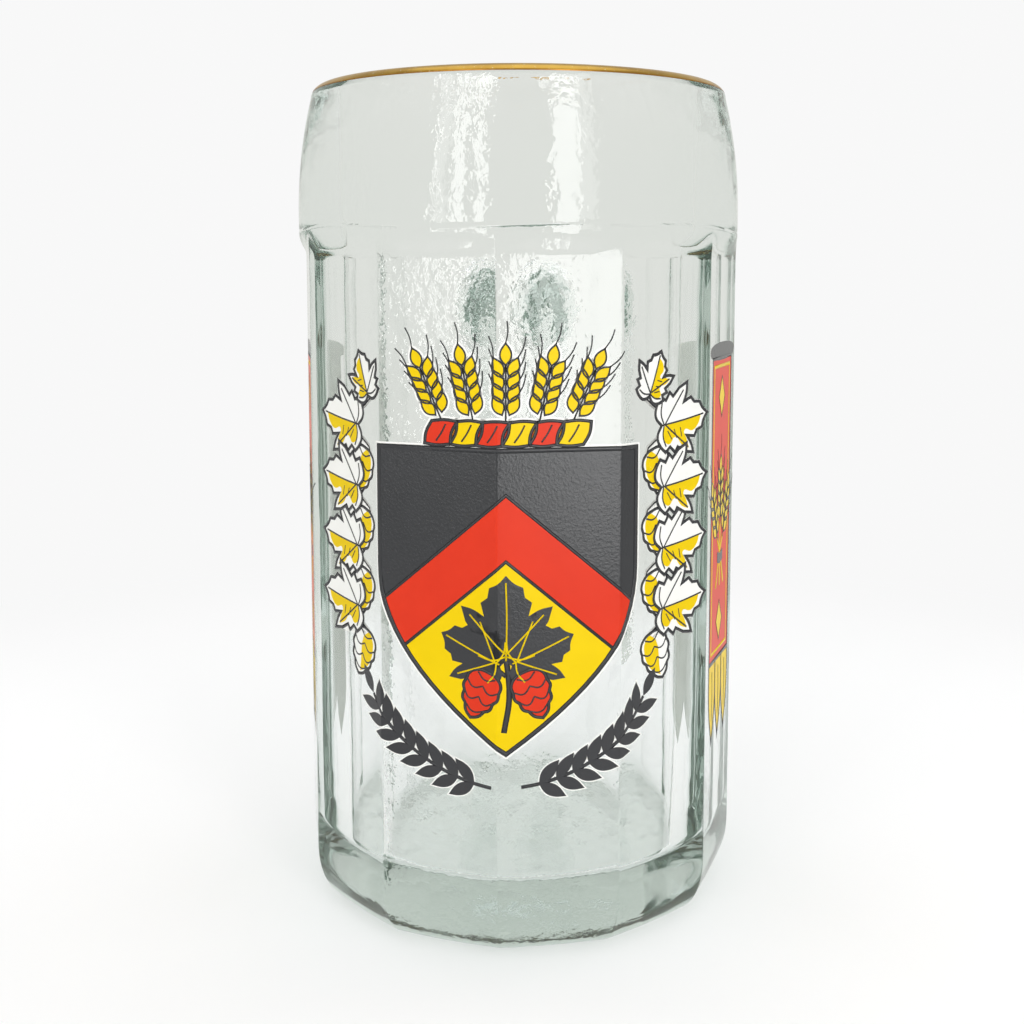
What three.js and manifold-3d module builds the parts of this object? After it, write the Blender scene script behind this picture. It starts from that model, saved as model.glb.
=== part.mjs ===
// A pressed-glass beer mug: a cup with twelve flat panels under a round lip band, a loop
// handle at the back, a gilded rim, and prints in fired enamel on the panels.
// Millimetres, +Z up. The cup's axis is Z and its flat underside lies at Z = 0. A panel edge
// and the middle of the print face -Y, and the handle stands at +Y.
import * as THREE from 'three';
import { mergeVertices } from 'three/addons/utils/BufferGeometryUtils.js';
import Module from 'manifold-3d';

const wasm = await Module();
wasm.setup();

// Cup
const mugHeight = 163;
const bandRadius = 44.5; // outside of the round lip band
const panelCount = 12;
const panelInset = 0.3; // the panel edges lie this far inside the band
const lipBandHeight = 31.5; // rim down to the lower edge of the band
const stepHeight = 2.8; // slope from the band's lower edge in to the panels
const shoulderHeight = 25; // the part of the band that curves in towards the rim
const shoulderDraw = 3.4; // how far it curves in
const lipRise = 1.8; // height of the rounded lip
const wall = 8.3; // glass at the lip band
const draft = 1; // the inside is this much narrower at the floor than at the lip
const floorThickness = 12.3;
const floorFillet = 2.5;
const heelHeight = 12;
const heelBulge = 0.8; // how far the slanting heel swells past a straight cone
const footRadius = 38.5;

// Handle
const handleReach = 42; // from the lip band's outside to the back of the grip
const handleWidth = 19;
const handleThickness = 14;
const handleDrop = 14; // band's lower edge down to the middle of the upper leg
const handleSpan = 76; // between the middles of the two legs
const handleBend = 22; // radius of the two bends at the middle of the bar
const rootFlare = 3; // widening of each leg where it meets the cup
const rootFlareLength = 13;
const handleGap = 0.3;

// Films of gold and enamel
const filmGap = 0.1;
const filmThickness = 0.3;
const filmLap = 0.02; // how far a film's share of one panel reaches over the edge to the next
const printGap = 0.3; // between two films side by side
const gildDepth = 1.2; // gold reaches this far down from the top of the lip

// Shield, measured along the panels from the front edge
const shieldOffset = 1.75; // middle of the print, to the right of the front edge
const shieldDrop = 33.7; // top of the panels down to the top of the shield
const shieldWidth = 49.6;
const shieldHeight = 55.5;
const shieldStraight = 22; // straight part of each side
const chevronDrop = 8; // top of the shield down to the chevron's peak
const chevronDepth = 12;
const chevronFall = 21; // from the peak down to the sides
const sprigHeight = 27; // hop sprig in the lower field
const sprigWidth = 9;
const leafFoot = 0.5; // how far the foot of a leaf reaches back into its stem
const leafBelly = 0.4; // share of a leaf's length up to where its sides swell

// Crest
const torseWidth = 31;
const torseHeight = 4.2;
const crestEars = 5;
const earLength = 13;
const earWidth = 4.4;
const earLean = 12; // degrees that each ear leans further out than the last

// Hop bines at the sides of the shield: a leaf at each outer turn, a cone at each inner one
const bineClearance = 3; // side of the shield out to the inner turns
const bineSwing = 6; // inner turns out to the outer turns
const bineRise = 9; // top of the stem above the top of the shield
const bineLength = 46;
const bineStem = 1.4;
const bineTurns = 8;
const hopLeafLength = 9.5;
const hopLeafWidth = 4.6;
const hopLeafTurn = 80; // degrees from straight up
const hopLobeSpread = 48; // degrees from the middle lobe to a side lobe
const hopLobeShare = 0.72; // length of a side lobe to that of the middle one
const hopConeLength = 7;
const hopConeWidth = 4.2;
const hopConeTurn = 150;

// Leaf sprigs under the shield
const garlandClearance = 6.5; // point of the shield down to the stems
const garlandRadius = 32;
const garlandStart = 5; // degrees from the middle
const garlandEnd = 58;
const garlandStem = 0.7;
const garlandLeaves = 8;
const garlandLeafLength = 5.6;
const garlandLeafWidth = 2.1;
const garlandLeafLean = 38; // degrees between a leaf and the stem

// Banners on the side panels
const bannerClearance = 0.5; // hop leaves to the near edge of the banner's panel
const bannerRise = 17; // bar above the top of the shield
const bannerBarWidth = 20;
const bannerBarHeight = 2;
const bannerWidth = 17;
const bannerLength = 60;
const tailLength = 17;
const tailCount = 3;

// How finely curves are divided
const turnSegments = panelCount * 6;
const curveSegments = 4;
const gripSteps = 40;
const gripSides = 18;

// Sizes that follow from those above
const halfPanel = Math.PI / panelCount;
const panelDistance = (bandRadius - panelInset) * Math.cos(halfPanel);
const panelWidth = 2 * panelDistance * Math.tan(halfPanel);
const bandBottom = mugHeight - lipBandHeight;
const panelTop = bandBottom - stepHeight;
const insideRadius = bandRadius - wall;
const shoulderBase = mugHeight - shoulderHeight;
const shoulderRadius = (shoulderHeight ** 2 + shoulderDraw ** 2) / (2 * shoulderDraw);
const shoulderSweep = Math.asin((shoulderHeight - lipRise) / shoulderRadius);
const lipBase = mugHeight - lipRise;
const lipOuter = bandRadius - shoulderRadius * (1 - Math.cos(shoulderSweep));
const lipMiddle = (lipOuter + insideRadius) / 2;
const lipHalf = (lipOuter - insideRadius) / 2;
const shieldTop = panelTop - shieldDrop;
const shieldTip = shieldTop - shieldHeight;

// Materials
function finish(color, roughness, metalness) {
  return new THREE.MeshStandardMaterial({ color, roughness, metalness });
}

function clearGlass() {
  const glass = finish(0xdfe8e1, 0.05, 0);
  glass.transparent = true;
  glass.opacity = 0.45;
  return glass;
}

const gold = () => finish(0xc9982f, 0.25, 1);
const blackEnamel = () => finish(0x2e3034, 0.35, 0);
const redEnamel = () => finish(0xde3c23, 0.35, 0);
const yellowEnamel = () => finish(0xebcd0a, 0.35, 0);
const whiteEnamel = () => finish(0xf2f1ea, 0.35, 0);

// Solids
const mergeDistance = 1e-4;

function solidOf(geometry) {
  const bare = geometry.index ? geometry.toNonIndexed() : geometry.clone();
  for (const name of Object.keys(bare.attributes)) {
    if (name !== 'position') bare.deleteAttribute(name);
  }
  const merged = mergeVertices(bare, mergeDistance);
  return new wasm.Manifold(new wasm.Mesh({
    numProp: 3,
    vertProperties: new Float32Array(merged.attributes.position.array),
    triVerts: new Uint32Array(merged.index.array),
  }));
}

function geometryOf(solid) {
  const mesh = solid.getMesh();
  const geometry = new THREE.BufferGeometry();
  geometry.setAttribute('position', new THREE.BufferAttribute(mesh.vertProperties, 3));
  geometry.setIndex(new THREE.BufferAttribute(mesh.triVerts, 1));
  geometry.computeVertexNormals();
  return geometry;
}

// A profile of radius and height, turned about Z. A panel edge of a coarse turning faces -Y.
function turned(profile, segments) {
  return new THREE.LatheGeometry(profile, segments).rotateX(Math.PI / 2);
}

// Cup: a round blank with its inside, pressed into a twelve-sided mould
function cupProfile() {
  const path = new THREE.Path();
  path.moveTo(0, 0);
  path.lineTo(footRadius, 0);
  path.quadraticCurveTo(
    (footRadius + bandRadius) / 2 + heelBulge * 2,
    heelHeight / 2 - heelBulge,
    bandRadius,
    heelHeight,
  );
  path.lineTo(bandRadius, shoulderBase);
  path.absarc(bandRadius - shoulderRadius, shoulderBase, shoulderRadius, 0, shoulderSweep, false);
  path.absellipse(lipMiddle, lipBase, lipHalf, lipRise, 0, Math.PI, false);
  path.lineTo(insideRadius - draft, floorThickness + floorFillet);
  path.absarc(
    insideRadius - draft - floorFillet,
    floorThickness + floorFillet,
    floorFillet,
    0,
    -Math.PI / 2,
    true,
  );
  path.lineTo(0, floorThickness);
  return path.getPoints(curveSegments);
}

// The slope above the panels runs on past the band, which it leaves round
function panelMould() {
  const corner = 1 / Math.cos(halfPanel);
  const margin = 2;
  const stepRun = 2;
  const wide = panelDistance + (bandRadius - panelDistance) * stepRun;
  return turned([
    new THREE.Vector2(0, -margin),
    new THREE.Vector2(panelDistance * corner, -margin),
    new THREE.Vector2(panelDistance * corner, panelTop),
    new THREE.Vector2(wide * corner, panelTop + stepHeight * stepRun),
    new THREE.Vector2(wide * corner, mugHeight + margin),
    new THREE.Vector2(0, mugHeight + margin),
  ], panelCount);
}

function cup() {
  const blank = solidOf(turned(cupProfile(), turnSegments));
  return geometryOf(blank.intersect(solidOf(panelMould())));
}

// Handle: a rounded bar along two legs, two bends and a straight grip, cut to the panels
function handlePath() {
  const upper = bandBottom - handleDrop;
  const lower = upper - handleSpan;
  const start = panelDistance - handleThickness / 2;
  const back = bandRadius + handleReach - handleThickness / 2;
  const at = (y, z) => new THREE.Vector3(0, y, z);
  const path = new THREE.CurvePath();
  path.add(new THREE.LineCurve3(at(start, upper), at(back - handleBend, upper)));
  path.add(new THREE.QuadraticBezierCurve3(
    at(back - handleBend, upper),
    at(back, upper),
    at(back, upper - handleBend),
  ));
  path.add(new THREE.LineCurve3(at(back, upper - handleBend), at(back, lower + handleBend)));
  path.add(new THREE.QuadraticBezierCurve3(
    at(back, lower + handleBend),
    at(back, lower),
    at(back - handleBend, lower),
  ));
  path.add(new THREE.LineCurve3(at(back - handleBend, lower), at(start, lower)));
  return { path, upper, lower };
}

function handleSection() {
  const section = new THREE.Shape();
  section.absellipse(0, 0, handleThickness / 2, handleWidth / 2, 0, 2 * Math.PI, false);
  return new THREE.Shape(section.getSpacedPoints(gripSides).slice(0, -1));
}

// Widens the bar towards the cup, about the middle line of the leg that it belongs to
function flareRoots(geometry, upper, lower) {
  const position = geometry.attributes.position;
  const flareEnd = panelDistance + rootFlareLength;
  for (let i = 0; i < position.count; i += 1) {
    const near = Math.max(0, (flareEnd - position.getY(i)) / rootFlareLength);
    const middle = position.getZ(i) > (upper + lower) / 2 ? upper : lower;
    const swell = rootFlare * Math.min(near, 1) ** 2;
    const x = position.getX(i);
    const z = position.getZ(i) - middle;
    position.setX(i, x * (1 + swell / (handleWidth / 2)));
    position.setZ(i, middle + z * (1 + swell / (handleThickness / 2)));
  }
  return geometry;
}

function handle() {
  const { path, upper, lower } = handlePath();
  const bar = new THREE.ExtrudeGeometry(handleSection(), { steps: gripSteps, extrudePath: path });
  flareRoots(bar, upper, lower);
  const clearance = (panelDistance + handleGap) / Math.cos(halfPanel);
  const bodySpace = turned([
    new THREE.Vector2(0, 0),
    new THREE.Vector2(clearance, 0),
    new THREE.Vector2(clearance, mugHeight),
    new THREE.Vector2(0, mugHeight),
  ], panelCount);
  return geometryOf(solidOf(bar).subtract(solidOf(bodySpace)));
}

// Gold on the lip: a ring that follows the lip's rounding
function rimGilding() {
  const start = Math.asin(1 - gildDepth / lipRise);
  const arc = (growth) => {
    const curve = new THREE.EllipseCurve(
      lipMiddle,
      lipBase,
      lipHalf + growth,
      lipRise + growth,
      start,
      Math.PI - start,
    );
    return curve.getPoints(curveSegments + 2);
  };
  const outer = arc(filmGap + filmThickness);
  const inner = arc(filmGap).reverse();
  return turned([...outer, ...inner, outer[0]], turnSegments);
}

// Prints: flat outlines in mm along the panels and up, laid on the panels as thin films

// One panel's share of a film layer: a slab with mitred ends, a hair longer than the panel
// so that it joins the next one
function panelSlab(panel, layer) {
  const inner = panelDistance + filmGap + layer * (filmGap + filmThickness);
  const outer = inner + filmThickness;
  const end = (distance) => distance * Math.tan(halfPanel) + filmLap;
  const slab = new THREE.Shape([
    new THREE.Vector2(-end(inner), inner),
    new THREE.Vector2(end(inner), inner),
    new THREE.Vector2(end(outer), outer),
    new THREE.Vector2(-end(outer), outer),
  ]);
  const geometry = new THREE.ExtrudeGeometry(slab, { depth: panelTop, bevelEnabled: false });
  return solidOf(geometry.applyMatrix4(panelFrame(panel, true)));
}

// Carries a panel's own axes to the mug: along the panel, up, and out from the axis.
// An outline is drawn along and up; a slab's section is drawn along and out.
function panelFrame(panel, sectionDrawn) {
  const angle = (2 * panel + 1) * halfPanel;
  const along = new THREE.Vector3(Math.cos(angle), Math.sin(angle), 0);
  const up = new THREE.Vector3(0, 0, 1);
  const out = new THREE.Vector3(Math.sin(angle), -Math.cos(angle), 0);
  const frame = new THREE.Matrix4();
  if (sectionDrawn) {
    return frame.makeBasis(along, out, up.clone().negate()).setPosition(0, 0, panelTop);
  }
  return frame.makeBasis(along, up, out);
}

// An outline pushed through the film layers of one panel. It widens with the distance from
// the axis, as the panel does, so that its shares meet at the edge between two panels.
function panelPrism(outline, panel) {
  const geometry = new THREE.ExtrudeGeometry(outline, {
    depth: bandRadius,
    bevelEnabled: false,
    curveSegments,
  });
  geometry.translate(-(panel + 0.5) * panelWidth, 0, panelDistance);
  const position = geometry.attributes.position;
  for (let i = 0; i < position.count; i += 1) {
    position.setX(i, position.getX(i) * (position.getZ(i) / panelDistance));
  }
  return solidOf(geometry.applyMatrix4(panelFrame(panel, false)));
}

function panelsUnder(outlines) {
  const across = outlines.flatMap((outline) => outline.getPoints(curveSegments).map((p) => p.x));
  const first = Math.floor(Math.min(...across) / panelWidth);
  const last = Math.ceil(Math.max(...across) / panelWidth) - 1;
  return Array.from({ length: last - first + 1 }, (_, i) => first + i);
}

// The film of some outlines together, kept inside one more outline where that is given
function film(outlines, { layer = 0, within = null } = {}) {
  let whole = null;
  for (const panel of panelsUnder(within ? [within] : outlines)) {
    let share = outlines.map((o) => panelPrism(o, panel)).reduce((a, b) => a.add(b));
    if (within) share = share.intersect(panelPrism(within, panel));
    share = share.intersect(panelSlab(panel, layer));
    whole = whole ? whole.add(share) : share;
  }
  return geometryOf(whole);
}

// Print outlines
function polygon(points) {
  return new THREE.Shape(points.map(([x, y]) => new THREE.Vector2(x, y)));
}

function rectangle(x, top, width, height) {
  return polygon([
    [x - width / 2, top - height],
    [x + width / 2, top - height],
    [x + width / 2, top],
    [x - width / 2, top],
  ]);
}

// A pointed leaf or ear from its foot in a direction given in degrees from straight up
function leaf(x, y, degrees, length, width) {
  const turn = THREE.MathUtils.degToRad(degrees);
  const ahead = new THREE.Vector2(Math.sin(turn), Math.cos(turn));
  const side = new THREE.Vector2(ahead.y, -ahead.x);
  const at = (along, across) => [
    x + ahead.x * along + side.x * across,
    y + ahead.y * along + side.y * across,
  ];
  const shape = new THREE.Shape();
  shape.moveTo(...at(-leafFoot, 0));
  shape.quadraticCurveTo(...at(length * leafBelly, width), ...at(length, 0));
  shape.quadraticCurveTo(...at(length * leafBelly, -width), ...at(-leafFoot, 0));
  return shape;
}

// A hop leaf: a middle lobe and two shorter side lobes
function hopLeaf(x, y, degrees, length, width) {
  const lobe = length * hopLobeShare;
  return [
    leaf(x, y, degrees, length, width),
    leaf(x, y, degrees - hopLobeSpread, lobe, width),
    leaf(x, y, degrees + hopLobeSpread, lobe, width),
  ];
}

// A band of even width along a curve
function stem(curve, width, steps) {
  const left = [];
  const right = [];
  for (let i = 0; i <= steps; i += 1) {
    const point = curve.getPoint(i / steps);
    const tangent = curve.getTangent(i / steps);
    const offset = new THREE.Vector2(-tangent.y, tangent.x).multiplyScalar(width / 2);
    left.push(point.clone().add(offset));
    right.unshift(point.clone().sub(offset));
  }
  const points = [...left, ...right];
  return new THREE.Shape(THREE.ShapeUtils.isClockWise(points) ? points.reverse() : points);
}

function shieldOutline() {
  const half = shieldWidth / 2;
  const bend = shieldTop - shieldStraight;
  const shape = new THREE.Shape();
  shape.moveTo(shieldOffset - half, shieldTop);
  shape.lineTo(shieldOffset - half, bend);
  shape.quadraticCurveTo(
    shieldOffset - half,
    (bend + shieldTip) / 2,
    shieldOffset,
    shieldTip,
  );
  shape.quadraticCurveTo(
    shieldOffset + half,
    (bend + shieldTip) / 2,
    shieldOffset + half,
    bend,
  );
  shape.lineTo(shieldOffset + half, shieldTop);
  return shape;
}

// The field between two chevron lines, each given by the drop of its peak below the shield's top
function chevronField(upperDrop, lowerDrop) {
  const half = shieldWidth / 2;
  const left = shieldOffset - half;
  const right = shieldOffset + half;
  const upper = shieldTop - upperDrop;
  const lower = shieldTop - lowerDrop;
  return polygon([
    [left, upper - chevronFall],
    [left, lower - chevronFall],
    [shieldOffset, lower],
    [right, lower - chevronFall],
    [right, upper - chevronFall],
    [shieldOffset, upper],
  ]);
}

function hopSprig() {
  const foot = shieldTip + (shieldHeight - chevronDrop - chevronDepth - sprigHeight) / 2;
  return hopLeaf(shieldOffset, foot, 0, sprigHeight, sprigWidth);
}

function torse() {
  return rectangle(shieldOffset, shieldTop + printGap + torseHeight, torseWidth, torseHeight);
}

function crestEar(index) {
  const place = index - (crestEars - 1) / 2;
  const foot = shieldTop + printGap + torseHeight + printGap + leafFoot;
  const x = shieldOffset + place * (torseWidth / crestEars);
  return leaf(x, foot, place * earLean, earLength, earWidth);
}

// Side is -1 for the left and 1 for the right of the print
function hopBine(side) {
  const inner = shieldWidth / 2 + bineClearance;
  const top = shieldTop + bineRise;
  const points = Array.from({ length: bineTurns }, (_, i) => new THREE.Vector2(
    shieldOffset + side * (inner + bineSwing * (i % 2)),
    top - bineLength * (i / (bineTurns - 1)),
  ));
  const growth = points.flatMap(({ x, y }, i) => (i % 2
    ? hopLeaf(x, y, side * hopLeafTurn, hopLeafLength, hopLeafWidth)
    : [leaf(x, y, side * hopConeTurn, hopConeLength, hopConeWidth)]));
  return [stem(new THREE.SplineCurve(points), bineStem, bineTurns * curveSegments), ...growth];
}

function leafSprig(side) {
  const middle = shieldTip - garlandClearance + garlandRadius;
  const at = (degrees) => {
    const turn = THREE.MathUtils.degToRad(degrees);
    return new THREE.Vector2(
      shieldOffset + side * garlandRadius * Math.sin(turn),
      middle - garlandRadius * Math.cos(turn),
    );
  };
  const sweep = garlandEnd - garlandStart;
  const steps = garlandLeaves * 2;
  const points = Array.from({ length: steps + 1 }, (_, i) => at(garlandStart + sweep * (i / steps)));
  const leaves = points.slice(1, -1).map((point, i) => {
    const heading = 90 - (garlandStart + sweep * ((i + 1) / steps));
    const lean = i % 2 ? garlandLeafLean : -garlandLeafLean;
    return leaf(point.x, point.y, side * (heading + lean), garlandLeafLength, garlandLeafWidth);
  });
  const tip = points[points.length - 1];
  const last = leaf(tip.x, tip.y, side * (90 - garlandEnd), garlandLeafLength, garlandLeafWidth);
  return [stem(new THREE.SplineCurve(points), garlandStem, steps), ...leaves, last];
}

// A banner hangs in the middle of the first panel that lies clear of the hop bine
function bannerMiddle(side) {
  const bineReach = shieldWidth / 2 + bineClearance + bineSwing + hopLeafLength;
  const panel = Math.ceil((side * shieldOffset + bineReach + bannerClearance) / panelWidth);
  return side * (panel + 0.5) * panelWidth;
}

function bannerTails(x, top) {
  const width = bannerWidth / tailCount;
  const left = x - bannerWidth / 2;
  const tips = Array.from({ length: tailCount }, (_, i) => [
    [left + width * i, top - tailLength / 2],
    [left + width * (i + 0.5), top - tailLength],
  ]).flat();
  return polygon([
    [left, top],
    ...tips,
    [left + bannerWidth, top - tailLength / 2],
    [left + bannerWidth, top],
  ]);
}

// The mug
const mug = new THREE.Group();

function add(name, geometry, material) {
  const mesh = new THREE.Mesh(geometry, material);
  mesh.name = name;
  mug.add(mesh);
}

add('mug_body', cup(), clearGlass());
add('handle', handle(), clearGlass());
add('rim_gilding', rimGilding(), gold());

const within = shieldOutline();
const peak = chevronDrop + printGap / 2;
const base = chevronDrop + chevronDepth - printGap / 2;
const blackField = chevronField(-shieldHeight, peak - printGap);
const redField = chevronField(peak, base);
const yellowField = chevronField(base + printGap, shieldHeight + chevronFall);
add('shield_black_field', film([blackField], { within }), blackEnamel());
add('shield_red_chevron', film([redField], { within }), redEnamel());
add('shield_yellow_field', film([yellowField], { within }), yellowEnamel());
add('shield_hop_sprig', film(hopSprig(), { layer: 1 }), blackEnamel());
add('crest_torse', film([torse()]), redEnamel());
for (let i = 0; i < crestEars; i += 1) {
  add(`crest_barley_${i + 1}`, film([crestEar(i)]), yellowEnamel());
}

const barTop = shieldTop + bannerRise;
const clothTop = barTop - bannerBarHeight - printGap;
const tailTop = clothTop - bannerLength - printGap;
for (const [side, word] of [[-1, 'left'], [1, 'right']]) {
  add(`hop_bine_${word}`, film(hopBine(side)), whiteEnamel());
  add(`leaf_sprig_${word}`, film(leafSprig(side)), blackEnamel());
  const x = bannerMiddle(side);
  const bar = rectangle(x, barTop, bannerBarWidth, bannerBarHeight);
  const cloth = rectangle(x, clothTop, bannerWidth, bannerLength);
  add(`banner_${word}_bar`, film([bar]), blackEnamel());
  add(`banner_${word}_cloth`, film([cloth]), redEnamel());
  add(`banner_${word}_tails`, film([bannerTails(x, tailTop)]), yellowEnamel());
}

export default mug;
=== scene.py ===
import math

import bmesh
import bpy
from mathutils import Matrix, Vector


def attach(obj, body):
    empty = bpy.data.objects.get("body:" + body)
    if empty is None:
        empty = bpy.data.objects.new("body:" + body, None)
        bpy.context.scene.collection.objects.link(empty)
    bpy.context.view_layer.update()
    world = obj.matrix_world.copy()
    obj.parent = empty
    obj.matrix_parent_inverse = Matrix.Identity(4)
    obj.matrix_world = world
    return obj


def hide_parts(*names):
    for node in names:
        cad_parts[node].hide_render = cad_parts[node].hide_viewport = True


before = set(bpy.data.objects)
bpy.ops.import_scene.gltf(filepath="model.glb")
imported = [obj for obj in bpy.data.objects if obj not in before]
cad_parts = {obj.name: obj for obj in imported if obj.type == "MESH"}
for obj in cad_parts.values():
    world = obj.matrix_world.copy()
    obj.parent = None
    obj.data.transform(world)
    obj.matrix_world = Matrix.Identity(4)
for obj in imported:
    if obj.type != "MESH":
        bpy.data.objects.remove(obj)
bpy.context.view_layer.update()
mm = 0.001
print("frame loaded:", len(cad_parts), "nodes")


# small helpers for nodes and colours
def linear(hexColour):
    channels = [int(hexColour[i:i + 2], 16) / 255 for i in (1, 3, 5)]
    return tuple(c / 12.92 if c <= 0.04045 else ((c + 0.055) / 1.055) ** 2.4 for c in channels) + (1.0,)


def addNode(tree, kind, settings=None, links=None):
    node = tree.nodes.new(kind)
    for name, value in (settings or {}).items():
        if isinstance(name, str) and hasattr(node, name):
            setattr(node, name, value)
        else:
            node.inputs[name].default_value = value
    for name, socket in (links or {}).items():
        tree.links.new(socket, node.inputs[name])
    return node


def newMaterial(name):
    material = bpy.data.materials.new(name)
    material.use_nodes = True
    material.node_tree.nodes.clear()
    return material, material.node_tree


def noiseScale(sizeMm):
    return 1 / (sizeMm * mm)  # noise features of about this size, on coordinates in metres


# camera where the photographer stood: a little right of the front edge, level with the panels' tops
cameraView = dict(distance=289.0 * mm, height=128.5 * mm, azimuth=5.09, pitch=6.08,
                  lens=49.08, sensor=36, shiftX=-0.0061, shiftY=-0.10, clipStart=10 * mm)


def addCamera(view):
    camera = bpy.data.objects.new("camera", bpy.data.cameras.new("camera"))
    bpy.context.scene.collection.objects.link(camera)
    turn = math.radians(view["azimuth"])
    distance = view["distance"]
    camera.location = (distance * math.sin(turn), -distance * math.cos(turn), view["height"])
    camera.rotation_euler = (math.radians(90 - view["pitch"]), 0, turn)
    camera.data.lens = view["lens"]
    camera.data.sensor_width = view["sensor"]
    camera.data.shift_x = view["shiftX"]
    camera.data.shift_y = view["shiftY"]
    camera.data.clip_start = view["clipStart"]
    bpy.context.scene.camera = camera


addCamera(cameraView)
print("camera placed")


# studio: pale floor, white all round for the eye, soft boxes beside the camera, behind the mug and above
studio = dict(floorDrop=0.2 * mm, floorSize=6.0, floorColour="#fbfbfb", white=0.94, glassWhite=0.80,
              glassTop=0.50, overhead=(0.45, 0.8), glassTint=(1.0, 1.005, 0.965, 1), fill=0.46,
              blendStart=0.16, blendEnd=0.30, bounces=40)
softBoxes = {
    "glow left": dict(azimuth=-33.5, distance=1.0, width=0.13, height=0.9, low=0.0, radiance=1.5),
    "strip left": dict(azimuth=-35.9, distance=0.98, width=0.03, height=0.9, low=0.0, radiance=4.0),
    "soft box left": dict(azimuth=-23.6, distance=1.0, width=0.105, height=0.9, low=0.0, radiance=5.0),
    "soft box middle": dict(azimuth=-13.9, distance=1.0, width=0.07, height=0.9, low=0.0, radiance=5.0),
    "soft box right": dict(azimuth=28.4, distance=0.398, width=0.0875, height=0.36, low=0.0, radiance=5.0),
    "glow right": dict(azimuth=40.0, distance=1.0, width=0.13, height=0.9, low=0.0, radiance=1.5),
}
backBoxes = {
    "back box left": dict(azimuth=-128, distance=1.3, width=0.8, height=0.8, low=0.1, radiance=3.6),
    "back box right": dict(azimuth=128, distance=1.3, width=0.8, height=0.8, low=0.1, radiance=3.6),
}
topBox = dict(height=1.3, back=0.05, size=1.2, radiance=1.05)


def addFloor(sizes):
    bm = bmesh.new()
    bmesh.ops.create_grid(bm, x_segments=1, y_segments=1, size=sizes["floorSize"] / 2,
                          matrix=Matrix.Translation((0, 0, -sizes["floorDrop"])))
    mesh = bpy.data.meshes.new("floor")
    bm.to_mesh(mesh)
    bm.free()
    floor = bpy.data.objects.new("floor", mesh)
    bpy.context.scene.collection.objects.link(floor)
    # matt paper that runs out into plain white away from the mug
    material, tree = newMaterial("matt paper")
    place = addNode(tree, "ShaderNodeTexCoord")
    reach = addNode(tree, "ShaderNodeVectorMath", dict(operation="LENGTH"), {0: place.outputs["Object"]})
    away = addNode(tree, "ShaderNodeMapRange",
                   {"interpolation_type": "SMOOTHSTEP", 1: sizes["blendStart"], 2: sizes["blendEnd"]},
                   {0: reach.outputs["Value"]})
    path = addNode(tree, "ShaderNodeLightPath")
    cameraOrGlossy = addNode(tree, "ShaderNodeMath", dict(operation="MAXIMUM"),
                             {0: path.outputs["Is Camera Ray"], 1: path.outputs["Is Glossy Ray"]})
    seen = addNode(tree, "ShaderNodeMath", dict(operation="MAXIMUM"),
                   {0: cameraOrGlossy.outputs[0], 1: path.outputs["Is Transmission Ray"]})
    share = addNode(tree, "ShaderNodeMath", dict(operation="MULTIPLY"),
                    {0: seen.outputs[0], 1: away.outputs[0]})
    paper = addNode(tree, "ShaderNodeBsdfDiffuse", {"Color": linear(sizes["floorColour"])})
    inGlass = addNode(tree, "ShaderNodeEmission",
                      {"Color": sizes["glassTint"], "Strength": sizes["glassWhite"]})
    white = addNode(tree, "ShaderNodeEmission", {"Color": (1, 1, 1, 1), "Strength": sizes["white"]})
    plain = addNode(tree, "ShaderNodeMixShader", None,
                    {0: path.outputs["Is Camera Ray"], 1: inGlass.outputs[0], 2: white.outputs[0]})
    mixed = addNode(tree, "ShaderNodeMixShader", None,
                    {0: share.outputs[0], 1: paper.outputs[0], 2: plain.outputs[0]})
    addNode(tree, "ShaderNodeOutputMaterial", None, {"Surface": mixed.outputs[0]})
    mesh.materials.append(material)


def addWorld(sizes):
    world = bpy.data.worlds.new("studio")
    bpy.context.scene.world = world
    world.use_nodes = True
    tree = world.node_tree
    tree.nodes.clear()
    path = addNode(tree, "ShaderNodeLightPath")
    glassRay = addNode(tree, "ShaderNodeMath", dict(operation="MAXIMUM"),
                       {0: path.outputs["Is Glossy Ray"], 1: path.outputs["Is Transmission Ray"]})
    fill = addNode(tree, "ShaderNodeBackground", {"Color": (1, 1, 1, 1), "Strength": sizes["fill"]})
    # through the glass the room is bright all round and dimmer overhead
    place = addNode(tree, "ShaderNodeTexCoord")
    upward = addNode(tree, "ShaderNodeSeparateXYZ", None, {0: place.outputs["Generated"]})
    dimFrom, dimTo = sizes["overhead"]
    level = addNode(tree, "ShaderNodeMapRange",
                    {1: dimFrom, 2: dimTo, 3: sizes["glassWhite"], 4: sizes["glassTop"]},
                    {0: upward.outputs["Z"]})
    inGlass = addNode(tree, "ShaderNodeBackground", {"Color": sizes["glassTint"]},
                      {"Strength": level.outputs[0]})
    white = addNode(tree, "ShaderNodeBackground", {"Color": (1, 1, 1, 1), "Strength": sizes["white"]})
    lit = addNode(tree, "ShaderNodeMixShader", None,
                  {0: glassRay.outputs[0], 1: fill.outputs[0], 2: inGlass.outputs[0]})
    whole = addNode(tree, "ShaderNodeMixShader", None,
                    {0: path.outputs["Is Camera Ray"], 1: lit.outputs[0], 2: white.outputs[0]})
    addNode(tree, "ShaderNodeOutputWorld", None, {"Surface": whole.outputs[0]})


def addAreaLight(name, width, height, radiance, place, target):
    light = bpy.data.lights.new(name, "AREA")
    light.shape = "RECTANGLE"
    light.size = width
    light.size_y = height
    light.energy = radiance * math.pi * width * height
    lamp = bpy.data.objects.new(name, light)
    bpy.context.scene.collection.objects.link(lamp)
    lamp.location = place
    lamp.rotation_euler = (Vector(target) - Vector(place)).to_track_quat("-Z", "Y").to_euler()
    lamp.visible_transmission = False
    return lamp


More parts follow.
